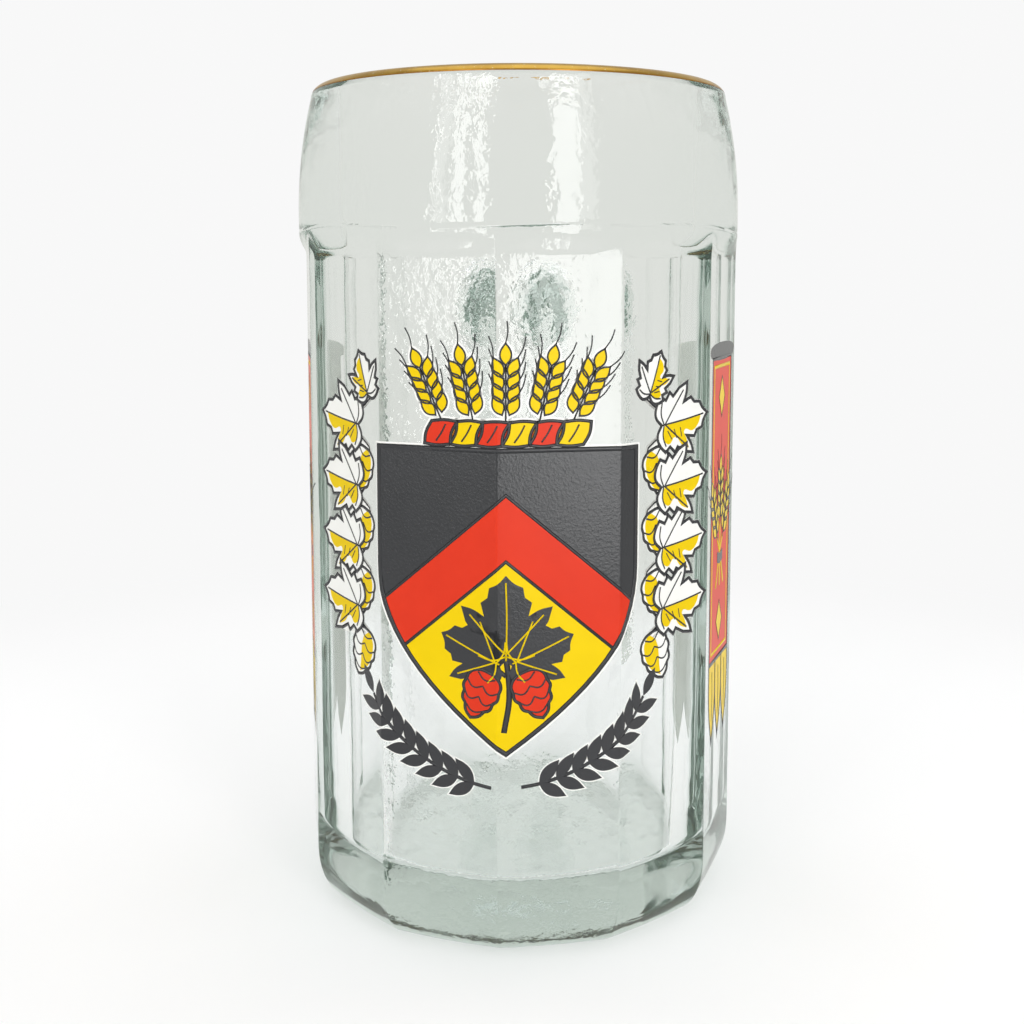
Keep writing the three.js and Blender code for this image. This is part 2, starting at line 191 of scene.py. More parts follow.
def addSoftBoxes():
    for name, box in {**softBoxes, **backBoxes}.items():
        turn = math.radians(box["azimuth"])
        middle = box["low"] + box["height"] / 2
        place = (box["distance"] * math.sin(turn), -box["distance"] * math.cos(turn), middle)
        lamp = addAreaLight(name, box["width"], box["height"], box["radiance"], place, (0, 0, middle))
        lamp.visible_glossy = name in softBoxes
    addAreaLight("soft box above", topBox["size"], topBox["size"], topBox["radiance"],
                 (0, topBox["back"], topBox["height"]), (0, 0, 0))


addFloor(studio)
addWorld(studio)
addSoftBoxes()
scene = bpy.context.scene
scene.view_settings.view_transform = "Standard"
scene.cycles.max_bounces = studio["bounces"]  # light crosses many walls of glass
scene.cycles.transmission_bounces = studio["bounces"]
scene.cycles.glossy_bounces = studio["bounces"]
print("studio lit")


# the cup: a turned blank with twelve flat panels under a round lip band
cup = dict(bandRadius=44.5, panelCount=12, panelInset=0.15, edgeRadius=1.2, panelSag=0.6, panelTop=128.8,
           stepFold=130.8, foldShare=0.3, bandBottom=134.5, bandWave=0.5, seamWidth=0.7, seamDepth=0.14,
           shoulderBase=138.0, shoulderRadius=93.6, lipBase=160.4, lipRise=2.6, insideRadius=36.2,
           floorRadius=35.2, floorLevel=12.3, floorFillet=2.5, footRadius=37.5, footFacet=0.4,
           heelHeight=11.5, support=0.3, sharpAngle=35)
cupSteps = dict(heel=16, panel=8, fillet=6, bandEdge=8, band=3, shoulder=10, lip=16, wall=12, floor=8,
                underside=(0, 15, 30), inside=(24, 12, 0))  # the last two are radii of rings
bandWaves = ((1.0, 4, -1.2), (0.4, 7, 0.7))  # share, count round the cup and start of each wave
halfPanel = math.pi / cup["panelCount"]
panelDistance = (cup["bandRadius"] - cup["panelInset"]) * math.cos(halfPanel)
panelWidth = 2 * panelDistance * math.tan(halfPanel)
flatColumns = 20  # columns of faces across the flat of a panel
edgeColumns = 6  # and around the rounded edge to the next panel
cupWeld = 1e-6  # in metres


def panelRadius(angle):
    # distance from the axis to the panels, with each edge between two panels rounded
    local = abs(angle % (2 * halfPanel) - halfPanel)
    rounding = cup["edgeRadius"]
    flatEnd = math.atan((panelDistance - rounding) * math.tan(halfPanel) / panelDistance)
    if local <= flatEnd:
        return panelDistance / math.cos(local)
    centre = (panelDistance - rounding) / math.cos(halfPanel)
    off = halfPanel - local
    return centre * math.cos(off) + math.sqrt(rounding ** 2 - (centre * math.sin(off)) ** 2)


def bandEdge(angle):
    # the band's lower edge runs a little unevenly round the cup
    wave = sum(share * math.sin(count * angle + start) for share, count, start in bandWaves)
    return cup["bandBottom"] + cup["bandWave"] * wave


def lipSweep():
    return math.asin((cup["lipBase"] - cup["shoulderBase"]) / cup["shoulderRadius"])


def shares(steps, first=1):
    return [i / steps for i in range(first, steps + 1)]


def cupProfile(angle):
    # radius and height from the middle of the underside, up the outside, over the lip and down inside
    panel = panelRadius(angle)
    # the panels run out on the heel, which leaves the foot nearly round
    foot = cup["footRadius"] + cup["footFacet"] * (panel - panelDistance - cup["panelSag"])
    heel = cup["heelHeight"]
    points = [(radius, 0) for radius in cupSteps["underside"]] + [(foot - cup["support"], 0)]
    for t in shares(cupSteps["heel"], 0):
        turn = math.pi / 2 * t
        points.append((foot + (panel - foot) * math.sin(turn), heel * (1 - math.cos(turn))))
    # rows close to both ends keep the panel flat under smooth shading
    flatStart = heel + cup["support"]
    flatEnd = cup["panelTop"] - cup["support"]
    points += [(panel, flatStart + (flatEnd - flatStart) * t) for t in shares(cupSteps["panel"], 0)]
    # hollow fillet off the panel, then the band's rounded lower edge, ending in the mould's seam
    band, edge = cup["bandRadius"], bandEdge(angle)
    fold, step = cup["stepFold"], band - panel
    for t in shares(cupSteps["fillet"], 0):
        points.append((panel + step * cup["foldShare"] * t * t,
                       cup["panelTop"] + (fold - cup["panelTop"]) * t))
    for t in shares(cupSteps["bandEdge"]):
        points.append((band - step * (1 - cup["foldShare"]) * (1 - t) ** 2, fold + (edge - fold) * t))
    points.append((band - cup["seamDepth"], edge + cup["seamWidth"] / 2))
    seamTop = edge + cup["seamWidth"]
    points += [(band, seamTop + (cup["shoulderBase"] - seamTop) * t) for t in shares(cupSteps["band"], 0)]
    for t in shares(cupSteps["shoulder"]):
        turn = lipSweep() * t
        points.append((band - cup["shoulderRadius"] * (1 - math.cos(turn)),
                       cup["shoulderBase"] + cup["shoulderRadius"] * math.sin(turn)))
    lipMiddle = (points[-1][0] + cup["insideRadius"]) / 2
    lipHalf = (points[-1][0] - cup["insideRadius"]) / 2
    for t in shares(cupSteps["lip"]):
        turn = math.pi * t
        points.append((lipMiddle + lipHalf * math.cos(turn),
                       cup["lipBase"] + cup["lipRise"] * math.sin(turn)))
    wallFoot = cup["floorLevel"] + cup["floorFillet"]
    for t in shares(cupSteps["wall"]):
        points.append((cup["insideRadius"] + (cup["floorRadius"] - cup["insideRadius"]) * t,
                       cup["lipBase"] + (wallFoot - cup["lipBase"]) * t))
    for t in shares(cupSteps["floor"]):
        turn = math.pi / 2 * t
        points.append((cup["floorRadius"] - cup["floorFillet"] * (1 - math.cos(turn)),
                       wallFoot - cup["floorFillet"] * math.sin(turn)))
    return points + [(radius, cup["floorLevel"]) for radius in cupSteps["inside"]]


def columnAngle(column):
    # columns stand close together at the rounded panel edges and even on the flats
    perPanel = flatColumns + edgeColumns
    panel, place = divmod(column, perPanel)
    flatHalf = (panelDistance - cup["edgeRadius"]) * math.tan(halfPanel)
    if place < edgeColumns:
        off = (place / edgeColumns * 2 - 1) * halfPanel
        centre = (panelDistance - cup["edgeRadius"]) / math.cos(halfPanel)
        across = cup["edgeRadius"] * math.sin(off)
        local = math.atan(across / (centre + cup["edgeRadius"] * math.cos(off)))
    else:
        across = flatHalf * ((place - edgeColumns) / flatColumns * 2 - 1)
        local = halfPanel + math.atan(across / panelDistance)
    return panel * 2 * halfPanel + local


def atAngle(radius, angle, z):
    # angle 0 is the front panel edge, towards -Y
    return Vector((radius * math.sin(angle), -radius * math.cos(angle), z)) * mm


def turnCup():
    bm = bmesh.new()
    station = bm.verts.layers.int.new("station")
    profile = []
    for i, (radius, z) in enumerate(cupProfile(0)):
        vert = bm.verts.new(atAngle(radius, 0, z))
        vert[station] = i
        profile.append(vert)
    edges = [bm.edges.new(pair) for pair in zip(profile, profile[1:])]
    columns = (flatColumns + edgeColumns) * cup["panelCount"]
    bmesh.ops.spin(bm, geom=profile + edges, cent=(0, 0, 0), axis=(0, 0, 1), angle=2 * math.pi,
                   steps=columns, use_merge=True)
    angles = [columnAngle(i) for i in range(columns)]
    profiles = [cupProfile(angle) for angle in angles]
    for vert in bm.verts:
        turn = math.atan2(vert.co.x, -vert.co.y) % (2 * math.pi)
        column = round(turn / (2 * math.pi) * columns) % columns
        radius, z = profiles[column][vert[station]]
        vert.co = atAngle(radius, angles[column], z)
    bmesh.ops.remove_doubles(bm, verts=bm.verts, dist=cupWeld)
    bmesh.ops.recalc_face_normals(bm, faces=bm.faces)
    mesh = bpy.data.meshes.new("mug_glass")
    bm.to_mesh(mesh)
    bm.free()
    return mesh


# the handle: a rounded bar bent to a loop, its two roots swelling into the wall
handle = dict(start=38.8, back=79.5, upper=117.5, lower=41.5, bend=22.0, width=19.0, thickness=14.0,
              flare=3.6, flareLength=13.0, flareCurve=2.4, flareLimit=1.3, sides=40, bendSteps=14,
              legSteps=14, gripSteps=12)


def handlePath():
    # middle line in the YZ plane
    back, bend = handle["back"], handle["bend"]
    path = []
    for i in range(handle["legSteps"]):
        t = i / handle["legSteps"]
        path.append((handle["start"] + (back - bend - handle["start"]) * t, handle["upper"]))
    for i in range(handle["bendSteps"] + 1):
        t = i / handle["bendSteps"]
        path.append((back - bend * (1 - t) ** 2, handle["upper"] - bend * t * t))
    half = list(path)
    gripEnd = handle["lower"] + bend
    for i in range(1, handle["gripSteps"]):
        t = i / handle["gripSteps"]
        path.append((back, handle["upper"] - bend + (gripEnd - handle["upper"] + bend) * t))
    middle = (handle["upper"] + handle["lower"]) / 2
    path += [(y, 2 * middle - z) for y, z in reversed(half)]
    return path


def sweepHandle():
    bm = bmesh.new()
    path = handlePath()
    rings = []
    for i, (y, z) in enumerate(path):
        ahead = Vector(path[min(i + 1, len(path) - 1)]) - Vector(path[max(i - 1, 0)])
        turn = math.atan2(ahead.y, ahead.x)
        near = max(0, (panelDistance + handle["flareLength"] - y) / handle["flareLength"])
        swell = handle["flare"] * min(near, handle["flareLimit"]) ** handle["flareCurve"]
        size = Matrix.Diagonal((handle["width"] / 2 + swell, handle["thickness"] / 2 + swell, 1, 1))
        stand = Matrix.Rotation(math.radians(90) + turn, 4, "X")
        place = Matrix.Scale(mm, 4) @ Matrix.Translation((0, y, z)) @ stand @ size
        ring = bmesh.ops.create_circle(bm, segments=handle["sides"], radius=1, matrix=place)["verts"]
        rings.append(ring)
    for first, second in zip(rings, rings[1:]):
        edges = {edge for ring in (first, second) for vert in ring for edge in vert.link_edges
                 if edge.other_vert(vert) in ring}
        bmesh.ops.bridge_loops(bm, edges=list(edges))
    for ring in (rings[0], rings[-1]):
        bmesh.ops.contextual_create(bm, geom=ring)
    bmesh.ops.recalc_face_normals(bm, faces=bm.faces)
    mesh = bpy.data.meshes.new("handle_bar")
    bm.to_mesh(mesh)
    bm.free()
    return mesh


# pressed soda-lime glass: clear, faintly green where it is thick, its skin gently wavy from the mould
def pressedGlass():
    look = dict(ior=1.52, absorb="#7dab97", density=8.2, waveMm=9.0, waveMmHigh=0.07, chillMm=1.7,
                chillMmHigh=0.14, patchMm=14.0, outsideMm=(39.5, 40.5), frontMm=(-34, -38),
                stippleMm=9.0, stippleMmHigh=0.45, undersideMm=0.3, frost=0.06, gripMm=6.0,
                gripMmHigh=0.45, gripStartMm=(47, 53), patchRange=(0.3, 0.6), patchLow=0.3,
                shadow=(0.985, 0.99, 0.985, 1))
    material, tree = newMaterial("pressed soda-lime glass")
    place = addNode(tree, "ShaderNodeTexCoord")
    wave = addNode(tree, "ShaderNodeTexNoise", {"Scale": noiseScale(look["waveMm"]), "Detail": 1.0},
                   {"Vector": place.outputs["Object"]})
    waveBump = addNode(tree, "ShaderNodeBump", {"Strength": 1.0, "Distance": look["waveMmHigh"] * mm},
                       {"Height": wave.outputs[0]})
    # fine chill marks on the outside at the front, in patches, which break up the reflections there
    upward = addNode(tree, "ShaderNodeSeparateXYZ", None, {0: place.outputs["Object"]})
    chill = addNode(tree, "ShaderNodeTexNoise", {"Scale": noiseScale(look["chillMm"]), "Detail": 2.0},
                    {"Vector": place.outputs["Object"]})
    patch = addNode(tree, "ShaderNodeTexNoise", {"Scale": noiseScale(look["patchMm"]), "Detail": 1.0},
                    {"Vector": place.outputs["Object"]})
    patchShare = addNode(tree, "ShaderNodeMapRange",
                         {1: look["patchRange"][0], 2: look["patchRange"][1], 3: look["patchLow"]},
                         {0: patch.outputs[0]})
    level = addNode(tree, "ShaderNodeVectorMath", {"operation": "MULTIPLY", 1: (1, 1, 0)},
                    {0: place.outputs["Object"]})
    reach = addNode(tree, "ShaderNodeVectorMath", dict(operation="LENGTH"), {0: level.outputs[0]})
    outside = addNode(tree, "ShaderNodeMapRange",
                      {1: look["outsideMm"][0] * mm, 2: look["outsideMm"][1] * mm},
                      {0: reach.outputs["Value"]})
    front = addNode(tree, "ShaderNodeMapRange", {1: look["frontMm"][0] * mm, 2: look["frontMm"][1] * mm},
                    {0: upward.outputs["Y"]})
    outsideFront = addNode(tree, "ShaderNodeMath", dict(operation="MULTIPLY"),
                           {0: outside.outputs[0], 1: front.outputs[0]})
    marked = addNode(tree, "ShaderNodeMath", dict(operation="MULTIPLY"),
                     {0: outsideFront.outputs[0], 1: patchShare.outputs[0]})
    marks = addNode(tree, "ShaderNodeMath", dict(operation="MULTIPLY"),
                    {0: chill.outputs[0], 1: marked.outputs[0]})
    chillBump = addNode(tree, "ShaderNodeBump", {"Strength": 1.0, "Distance": look["chillMmHigh"] * mm},
                        {"Height": marks.outputs[0], "Normal": waveBump.outputs[0]})
    # the underside is stippled and a little dull, which breaks up the light in the thick floor
    stipple = addNode(tree, "ShaderNodeTexNoise", {"Scale": noiseScale(look["stippleMm"]), "Detail": 1.0},
                      {"Vector": place.outputs["Object"]})
    below = addNode(tree, "ShaderNodeMath", {"operation": "LESS_THAN", 1: look["undersideMm"] * mm},
                    {0: upward.outputs["Z"]})
    stippled = addNode(tree, "ShaderNodeMath", dict(operation="MULTIPLY"),
                       {0: stipple.outputs[0], 1: below.outputs[0]})
    stippleBump = addNode(tree, "ShaderNodeBump", {"Strength": 1.0, "Distance": look["stippleMmHigh"] * mm},
                          {"Height": stippled.outputs[0], "Normal": chillBump.outputs[0]})
    # the handle, pulled hot from the mould, is wavier than the cup
    grip = addNode(tree, "ShaderNodeTexNoise", {"Scale": noiseScale(look["gripMm"]), "Detail": 1.0},
                   {"Vector": place.outputs["Object"]})
    onGrip = addNode(tree, "ShaderNodeMapRange",
                     {1: look["gripStartMm"][0] * mm, 2: look["gripStartMm"][1] * mm},
                     {0: upward.outputs["Y"]})
    gripWave = addNode(tree, "ShaderNodeMath", dict(operation="MULTIPLY"),
                       {0: grip.outputs[0], 1: onGrip.outputs[0]})
    bump = addNode(tree, "ShaderNodeBump", {"Strength": 1.0, "Distance": look["gripMmHigh"] * mm},
                   {"Height": gripWave.outputs[0], "Normal": stippleBump.outputs[0]})
    frosted = addNode(tree, "ShaderNodeMath", {"operation": "MULTIPLY", 1: look["frost"]},
                      {0: below.outputs[0]})
    glass = addNode(tree, "ShaderNodeBsdfPrincipled",
                    {"Base Color": (1, 1, 1, 1), "IOR": look["ior"], "Transmission Weight": 1.0},
                    {"Roughness": frosted.outputs[0], "Normal": bump.outputs[0]})
    path = addNode(tree, "ShaderNodeLightPath")
    clear = addNode(tree, "ShaderNodeBsdfTransparent", {"Color": look["shadow"]})
    mixed = addNode(tree, "ShaderNodeMixShader", None,
                    {0: path.outputs["Is Shadow Ray"], 1: glass.outputs[0], 2: clear.outputs[0]})
    body = addNode(tree, "ShaderNodeVolumeAbsorption",
                   {"Color": linear(look["absorb"]), "Density": look["density"]})
    addNode(tree, "ShaderNodeOutputMaterial", None,
            {"Surface": mixed.outputs[0], "Volume": body.outputs[0]})
    return material


def addPiece(name, mesh, material, replaced=()):
    piece = bpy.data.objects.new(name, mesh)
    bpy.context.scene.collection.objects.link(piece)
    mesh.materials.clear()
    mesh.materials.append(material)
    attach(piece, "root")
    if replaced:
        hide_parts(*replaced)


def joinedGlass():
    # the handle is fused to the cup, so both are one body of glass
    body = bpy.data.objects.new("mug_glass", turnCup())
    bar = bpy.data.objects.new("handle_bar", sweepHandle())
    for part in (body, bar):
        bpy.context.scene.collection.objects.link(part)
    join = body.modifiers.new("fuse", "BOOLEAN")
    join.operation = "UNION"
    join.solver = "EXACT"
    join.object = bar
    depsgraph = bpy.context.evaluated_depsgraph_get()
    mesh = bpy.data.meshes.new_from_object(body.evaluated_get(depsgraph))
    for part in (body, bar):
        bpy.data.objects.remove(part)
    mesh.shade_smooth()
    mesh.set_sharp_from_angle(angle=math.radians(cup["sharpAngle"]))
    return mesh


addPiece("mug_glass", joinedGlass(), pressedGlass(), ("mug_body", "handle"))
print("glass pressed")


# fired gold: bright on the crown of the lip, its tone varying at random, worn in specks; browner lower down
# towards both edges of the band, which is painted shade
def firedGold():
    look = dict(bright="#c6a048", dull="#ab8438", shadeBrown="#8a5522", worn="#cfc3a0", toneMm=6.0, speckMm=0.5,
                shadeFadeMm=(161.5, 161.95), toneRange=(0.35, 0.75), speckRange=(0.66, 0.74), speckMmHigh=0.01,
                roughness=0.3)
    material, tree = newMaterial("fired gold")
    place = addNode(tree, "ShaderNodeTexCoord")
    tone = addNode(tree, "ShaderNodeTexNoise", {"Scale": noiseScale(look["toneMm"]), "Detail": 3.0},
                   {"Vector": place.outputs["Object"]})
    speck = addNode(tree, "ShaderNodeTexNoise", {"Scale": noiseScale(look["speckMm"]), "Detail": 2.0},
                    {"Vector": place.outputs["Object"]})
    toneShare = addNode(tree, "ShaderNodeMapRange", {1: look["toneRange"][0], 2: look["toneRange"][1]},
                        {0: tone.outputs[0]})
    speckShare = addNode(tree, "ShaderNodeMapRange", {1: look["speckRange"][0], 2: look["speckRange"][1]},
                         {0: speck.outputs[0]})
    upward = addNode(tree, "ShaderNodeSeparateXYZ", None, {0: place.outputs["Object"]})
    # painted shade: below this height range the gold is mixed to brown
    paintedShadeFade = addNode(tree, "ShaderNodeMapRange",
                         {1: look["shadeFadeMm"][0] * mm, 2: look["shadeFadeMm"][1] * mm},
                         {0: upward.outputs["Z"]})
    crown = addNode(tree, "ShaderNodeMix",
                    {"data_type": "RGBA", 6: linear(look["bright"]), 7: linear(look["dull"])},
                    {0: toneShare.outputs[0]})
    gold = addNode(tree, "ShaderNodeMix", {"data_type": "RGBA", 6: linear(look["shadeBrown"])},
                   {0: paintedShadeFade.outputs[0], 7: crown.outputs[2]})
    colour = addNode(tree, "ShaderNodeMix", {"data_type": "RGBA", 7: linear(look["worn"])},
                     {0: speckShare.outputs[0], 6: gold.outputs[2]})
    bump = addNode(tree, "ShaderNodeBump", {"Strength": 1.0, "Distance": look["speckMmHigh"] * mm},
                   {"Height": speck.outputs[0]})
    metal = addNode(tree, "ShaderNodeBsdfPrincipled", {"Metallic": 1.0, "Roughness": look["roughness"]},
                    {"Base Color": colour.outputs[2], "Normal": bump.outputs[0]})
    addNode(tree, "ShaderNodeOutputMaterial", None, {"Surface": metal.outputs[0]})
    return material


# gilding: a thin film over the crown of the lip
gilding = dict(start=26, end=150, steps=16, thick=0.03, sunk=0.01, columns=180)


def gildRim():
    bm = bmesh.new()
    lipTop = cup["bandRadius"] - cup["shoulderRadius"] * (1 - math.cos(lipSweep()))
    middle = (lipTop + cup["insideRadius"]) / 2
    half = (lipTop - cup["insideRadius"]) / 2
    profile = []
    for rise in (gilding["thick"], -gilding["sunk"]):
        row = []
        for t in shares(gilding["steps"], 0):
            turn = math.radians(gilding["start"] + (gilding["end"] - gilding["start"]) * t)
            row.append((middle + (half + rise) * math.cos(turn),
                        cup["lipBase"] + (cup["lipRise"] + rise) * math.sin(turn)))
        profile += row if rise > 0 else row[::-1]
    verts = [bm.verts.new(atAngle(radius, 0, z)) for radius, z in profile]
    edges = [bm.edges.new(pair) for pair in zip(verts, verts[1:] + verts[:1])]
    bmesh.ops.spin(bm, geom=verts + edges, cent=(0, 0, 0), axis=(0, 0, 1), angle=2 * math.pi,
                   steps=gilding["columns"], use_merge=True)
    bmesh.ops.recalc_face_normals(bm, faces=bm.faces)
    mesh = bpy.data.meshes.new("rim_gold")
    bm.to_mesh(mesh)
    bm.free()
    mesh.shade_smooth()
    return mesh


addPiece("rim_gold", gildRim(), firedGold(), ("rim_gilding",))
print("rim gilded")


# fired enamel: thick opaque print colour, a little glossy, with fine pits
def firedEnamel(name, colour, deeper, gloss, roughness, pitMmHigh):
    look = dict(toneMm=7.0, pitMm=0.5)
    material, tree = newMaterial(name)
    place = addNode(tree, "ShaderNodeTexCoord")
    tone = addNode(tree, "ShaderNodeTexNoise", {"Scale": noiseScale(look["toneMm"]), "Detail": 4.0},
                   {"Vector": place.outputs["Object"]})
    pits = addNode(tree, "ShaderNodeTexNoise", {"Scale": noiseScale(look["pitMm"]), "Detail": 2.0},
                   {"Vector": place.outputs["Object"]})
    paint = addNode(tree, "ShaderNodeMix", {"data_type": "RGBA", 6: linear(colour), 7: linear(deeper)},
                    {0: tone.outputs[0]})
    bump = addNode(tree, "ShaderNodeBump", {"Strength": 1.0, "Distance": pitMmHigh * mm},
                   {"Height": pits.outputs[0]})
    film = addNode(tree, "ShaderNodeBsdfPrincipled", {"Roughness": roughness, "Specular IOR Level": gloss},
                   {"Base Color": paint.outputs[2], "Normal": bump.outputs[0]})
    addNode(tree, "ShaderNodeOutputMaterial", None, {"Surface": film.outputs[0]})
    return material


enamels = {
    "enamel_black": firedEnamel("black enamel", "#2c2d30", "#232427", 0.5, 0.24, 0.045),
    "enamel_red": firedEnamel("red enamel", "#d8371c", "#cc3018", 0.15, 0.3, 0.002),
    "enamel_yellow": firedEnamel("yellow enamel", "#e8c800", "#dfbe00", 0.12, 0.3, 0.002),
    "enamel_white": firedEnamel("white enamel", "#f2f2ee", "#e8e8e2", 0.3, 0.3, 0.002),
}

# the prints are drawn flat as curves in millimetres, x across from the crest's middle and y up,
# laid as thin films one over the other and folded round the panels
layers = dict(ground=(-0.020, 0.010), backing=(0.002, 0.010), low=(0.006, 0.016), lowShade=(0.013, 0.020),
              lowLine=(0.016, 0.026), field=(0.020, 0.034), shade=(0.030, 0.042), accent=(0.038, 0.050),
              line=(0.044, 0.062))  # lower and upper face of each, in mm above the glass
crestMiddle = 1.75  # the crest's middle, right of the front panel edge
halo = 0.35  # the white ground shows this far round the colours
fineLine = 0.32
hatchLine = 0.7 * fineLine
awnLine = 0.8 * fineLine
boldLine = 0.6
foldCuts = (-0.32, -0.16, 0, 0.16, 0.32)  # a film is cut here beside a panel edge, to bend round it
curveSteps = 5
filmWeld = 1e-4  # in mm, for films still flat
films = {}


def drawing(points, closed):
    # smooth through each point, except where a third value marks a corner
    curve = bpy.data.curves.new("drawing", "CURVE")
    curve.dimensions = "2D"
    curve.resolution_u = curveSteps
    spline = curve.splines.new("BEZIER")
    spline.bezier_points.add(len(points) - 1)
    for knot, (x, y, *corner) in zip(spline.bezier_points, points):
        knot.co = (x, y, 0)
        knot.handle_left_type = knot.handle_right_type = "VECTOR" if corner else "AUTO"
    spline.use_cyclic_u = closed
    return curve


def layFilm(piece, curve, depth, layer, lift):
    low, high = (height + lift for height in layers[layer])
    flat = bpy.data.objects.new("drawing", curve)
    mesh = bpy.data.meshes.new_from_object(flat)
    for vert in mesh.vertices:
        vert.co.z = low + (high - low) * (vert.co.z / depth + 1) / 2
    if piece not in films:
        films[piece] = bmesh.new()
    films[piece].from_mesh(mesh)
    bpy.data.objects.remove(flat)
    bpy.data.curves.remove(curve)
    bpy.data.meshes.remove(mesh)


def fillIn(piece, outline, layer, grow=0.0, lift=0.0):
    curve = drawing(outline, True)
    curve.fill_mode = "BOTH"
    curve.extrude = 1
    curve.offset = grow
    layFilm(piece, curve, 1, layer, lift)


def drawLine(piece, points, layer, width, closed=False, lift=0.0):
    curve = drawing(points, closed)
    curve.fill_mode = "NONE"
    curve.bevel_depth = width / 2
    curve.bevel_resolution = 0
    curve.use_fill_caps = True
    layFilm(piece, curve, width / 2, layer, lift)


def bothSides(half):
    return half + [(-x, y, *corner) for x, y, *corner in reversed(half[1:-1])]


def placed(points, x, y, turn, size, side=1):
    # a motif drawn one unit tall goes down at its foot, turned clockwise from upright
    cosine, sine = math.cos(math.radians(turn)), math.sin(math.radians(turn))
    return [(side * (x + size * (px * cosine + py * sine)), y + size * (py * cosine - px * sine), *corner)
            for px, py, *corner in points]


def ontoPanel(point):
    across = (point.x + crestMiddle) / panelWidth
    panel = math.floor(across)
    local = math.atan((across - panel - 0.5) * panelWidth / panelDistance)
    angle = (panel + 0.5) * 2 * halfPanel + local
    return atAngle(panelRadius(angle) + point.z, angle, point.y)


def foldedFilm(name):
    bm = films[name]
    bmesh.ops.remove_doubles(bm, verts=bm.verts, dist=filmWeld)
    reach = [vert.co.x + crestMiddle for vert in bm.verts]
    for edge in range(math.floor(min(reach) / panelWidth), math.ceil(max(reach) / panelWidth) + 1):
        for off in foldCuts:
            cut = edge * panelWidth + off - crestMiddle
            bmesh.ops.bisect_plane(bm, geom=bm.verts[:] + bm.edges[:] + bm.faces[:],
                                   plane_co=(cut, 0, 0), plane_no=(1, 0, 0))
    for vert in bm.verts:
        vert.co = ontoPanel(vert.co)
    bmesh.ops.recalc_face_normals(bm, faces=bm.faces)
    mesh = bpy.data.meshes.new(name)
    bm.to_mesh(mesh)
    bm.free()
    return mesh


# motifs, each one unit tall with its foot at the origin; half outlines run up the right side
leafHalf = [(0, 0.05, 1), (0.14, -0.05), (0.28, -0.02), (0.40, 0.08, 1), (0.34, 0.18, 1), (0.44, 0.27, 1),
            (0.37, 0.33, 1), (0.47, 0.47, 1), (0.52, 0.64, 1), (0.38, 0.61), (0.25, 0.54, 1),
            (0.29, 0.69, 1), (0.21, 0.75, 1), (0.19, 0.86, 1), (0.09, 0.91), (0, 1, 1)]
leafShade = [(0.01, 0.12, 1), (0.01, 0.86, 1), (0.12, 0.80), (0.20, 0.66), (0.16, 0.50), (0.30, 0.53),
             (0.44, 0.56, 1), (0.36, 0.42), (0.22, 0.30), (0.30, 0.16), (0.16, 0.06)]
leafVeins = [[(0, 0.05), (0.01, 0.5), (0, 0.92)], [(0, 0.12), (0.18, 0.30), (0.42, 0.55)],
             [(0, 0.12), (-0.18, 0.30), (-0.42, 0.55)], [(0, 0.10), (0.16, 0.06), (0.32, 0.10)],
             [(0, 0.10), (-0.16, 0.06), (-0.32, 0.10)]]
leafHatch = [[(0.10, 0.16 + 0.13 * i), (0.24, 0.23 + 0.10 * i)] for i in range(3)]
coneHalf = [(0, -0.02), (0.22, 0.02), (0.36, 0.16), (0.37, 0.30, 1), (0.39, 0.44), (0.33, 0.54, 1),
            (0.31, 0.70), (0.22, 0.78, 1), (0.15, 0.92), (0, 1.02, 1)]
coneShade = [(0.03, 0.02), (0.22, 0.10), (0.30, 0.30), (0.30, 0.50), (0.20, 0.76), (0.03, 0.94, 1)]
coneScales = [[(-0.36, 0.29), (-0.18, 0.40), (0, 0.30, 1), (0.18, 0.40), (0.36, 0.29)],
              [(-0.33, 0.53), (-0.17, 0.65), (0, 0.54, 1), (0.17, 0.65), (0.33, 0.53)],
              [(-0.22, 0.77), (0, 0.88), (0.22, 0.77)], [(-0.2, 0.06), (0, 0.16), (0.2, 0.06)]]
grainHalf = [(0, 0, 1), (0.24, 0.32), (0.24, 0.62), (0, 1, 1)]


def hopLeaf(group, x, y, turn, size, side, lift):
    outline = placed(bothSides(leafHalf), x, y, turn, size, side)
    fillIn("print_ground", outline, "ground", halo)
    fillIn(group + "_leaves", outline, "field", 0, lift)
    fillIn(group + "_shading", placed(leafShade, x, y, turn, size, side), "shade", 0, lift)
    drawLine(group + "_lines", outline, "line", boldLine, True, lift)
    for vein in leafVeins:
        drawLine(group + "_lines", placed(vein, x, y, turn, size, side), "line", fineLine, False, lift)
    for stroke in leafHatch:
        drawLine(group + "_lines", placed(stroke, x, y, turn, size, side), "line", hatchLine, False, lift)


def hopCone(group, x, y, turn, size, side):
    outline = placed(bothSides(coneHalf), x, y, turn, size, side)
    fillIn("print_ground", outline, "ground", halo)
    fillIn(group + "_leaves", outline, "low")
    fillIn(group + "_shading", placed(coneShade, x, y, turn, size, side), "lowShade")
    drawLine(group + "_lines", outline, "lowLine", boldLine, True)
    for scale in coneScales:
        drawLine(group + "_lines", placed(scale, x, y, turn, size, side), "lowLine", fineLine)


